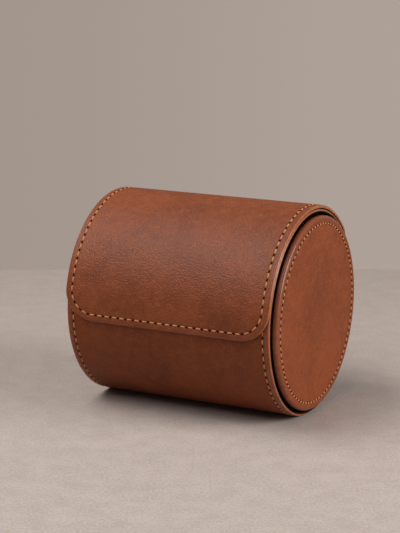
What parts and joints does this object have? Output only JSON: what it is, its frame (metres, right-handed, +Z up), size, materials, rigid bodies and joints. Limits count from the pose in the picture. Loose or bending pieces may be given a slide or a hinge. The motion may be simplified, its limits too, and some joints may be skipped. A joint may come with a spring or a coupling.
{
  "type": "watch travel case",
  "caption": "Cylindrical leather travel case with a stitched wrap-over flap, a slide-out tray with a disc front, and a soft watch pillow.",
  "frame": {"origin": "middle of the flat that the barrel rests on, half way between the two rims", "axes": "+X along the barrel towards the tray's front disc, -Y towards the flap's lip, +Z up"},
  "size_m": [0.0876, 0.0812, 0.0801],
  "materials": {
    "cognac_leather": "smooth full-grain leather, soft sheen",
    "binding_leather": "thin dark leather, matt",
    "thread": "waxed tan thread",
    "suede": "brushed microsuede",
    "board": "grey bookbinding board",
    "magnet_steel": "nickel-plated",
    "foam": "open-cell foam"
  },
  "bodies": {
    "barrel": {"barrel_leather_wrap": "cognac_leather", "barrel_board_tube": "board", "barrel_lining": "suede", "window_binding": "binding_leather", "left_rim_thread": "thread", "right_rim_thread": "thread", "closure_magnets": "magnet_steel", "hinge_tab": "cognac_leather", "hinge_tab_thread": "thread", "end_disc_board": "board", "end_disc_leather": "cognac_leather", "end_disc_thread": "thread", "end_disc_lining": "suede"},
    "flap": {"flap_leather_cover": "cognac_leather", "flap_stiffener": "board", "flap_suede_lining": "suede", "flap_strike_plates": "magnet_steel", "flap_thread": "thread"},
    "tray": {"tray_trough": "board", "tray_trough_lining": "suede", "tray_back_panel": "board", "tray_back_lining": "suede", "front_disc_board": "board", "front_disc_leather": "cognac_leather", "front_disc_thread": "thread", "tray_front_panel": "board", "tray_front_lining": "suede", "pillow_foam": "foam", "pillow_cover": "suede"}
  },
  "joints": [
    {"name": "flap_hinge", "type": "hinge", "parent": "barrel", "child": "flap", "pos_m": [0, 0.03227, 0.06321], "axis": [-1, 0, 0], "range_deg": [0, 115]},
    {"name": "tray_slide", "type": "slide", "parent": "barrel", "child": "tray", "axis": [1, 0, 0], "range_m": [0, 0.07]}
  ]
}
